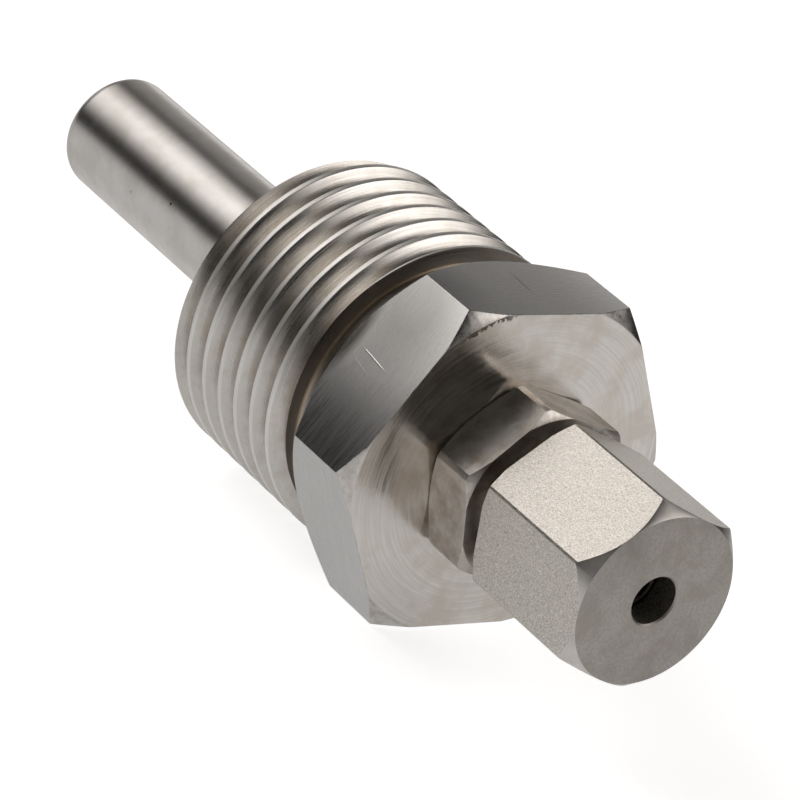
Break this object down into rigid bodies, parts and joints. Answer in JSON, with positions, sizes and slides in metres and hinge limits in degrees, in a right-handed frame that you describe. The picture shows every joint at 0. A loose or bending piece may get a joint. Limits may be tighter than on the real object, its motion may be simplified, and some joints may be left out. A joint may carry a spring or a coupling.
{
  "type": "thermowell",
  "caption": "Screw-in thermowell turned from hexagonal bar, with a plain stem, a parallel pipe thread and a compression gland that grips a thin probe.",
  "frame": {"origin": "on the axis, in the plane of the sealing shoulder (the back face of the big hexagon)", "axes": "+X along the axis, from the stem towards the gland nut; +Z out of one flat of the big hexagon"},
  "size_m": [0.0613, 0.0242, 0.021],
  "materials": {
    "well_steel": "turned, with fine tool marks; flats brushed across",
    "gland_steel": "turned, semi-bright",
    "ferrule_steel": "turned bright",
    "nut_steel": "fine matt, tumbled"
  },
  "bodies": {
    "well": {"thermowell_body": "well_steel", "gland_body": "gland_steel"},
    "olive": {"ferrule": "ferrule_steel"},
    "nut": {"gland_nut": "nut_steel"}
  },
  "joints": [
    {"name": "nut_travel", "type": "slide", "parent": "well", "child": "olive", "axis": [1, 0, 0], "range_m": [0, 0.004]},
    {"name": "nut_turn", "type": "hinge", "parent": "olive", "child": "nut", "pos_m": [0.0167, 0, 0], "axis": [1, 0, 0], "range_deg": [0, 1440]}
  ],
  "couplings": [
    {"joint": "nut_travel", "follows": "nut_turn", "m_per_rad": 0.00015915}
  ]
}
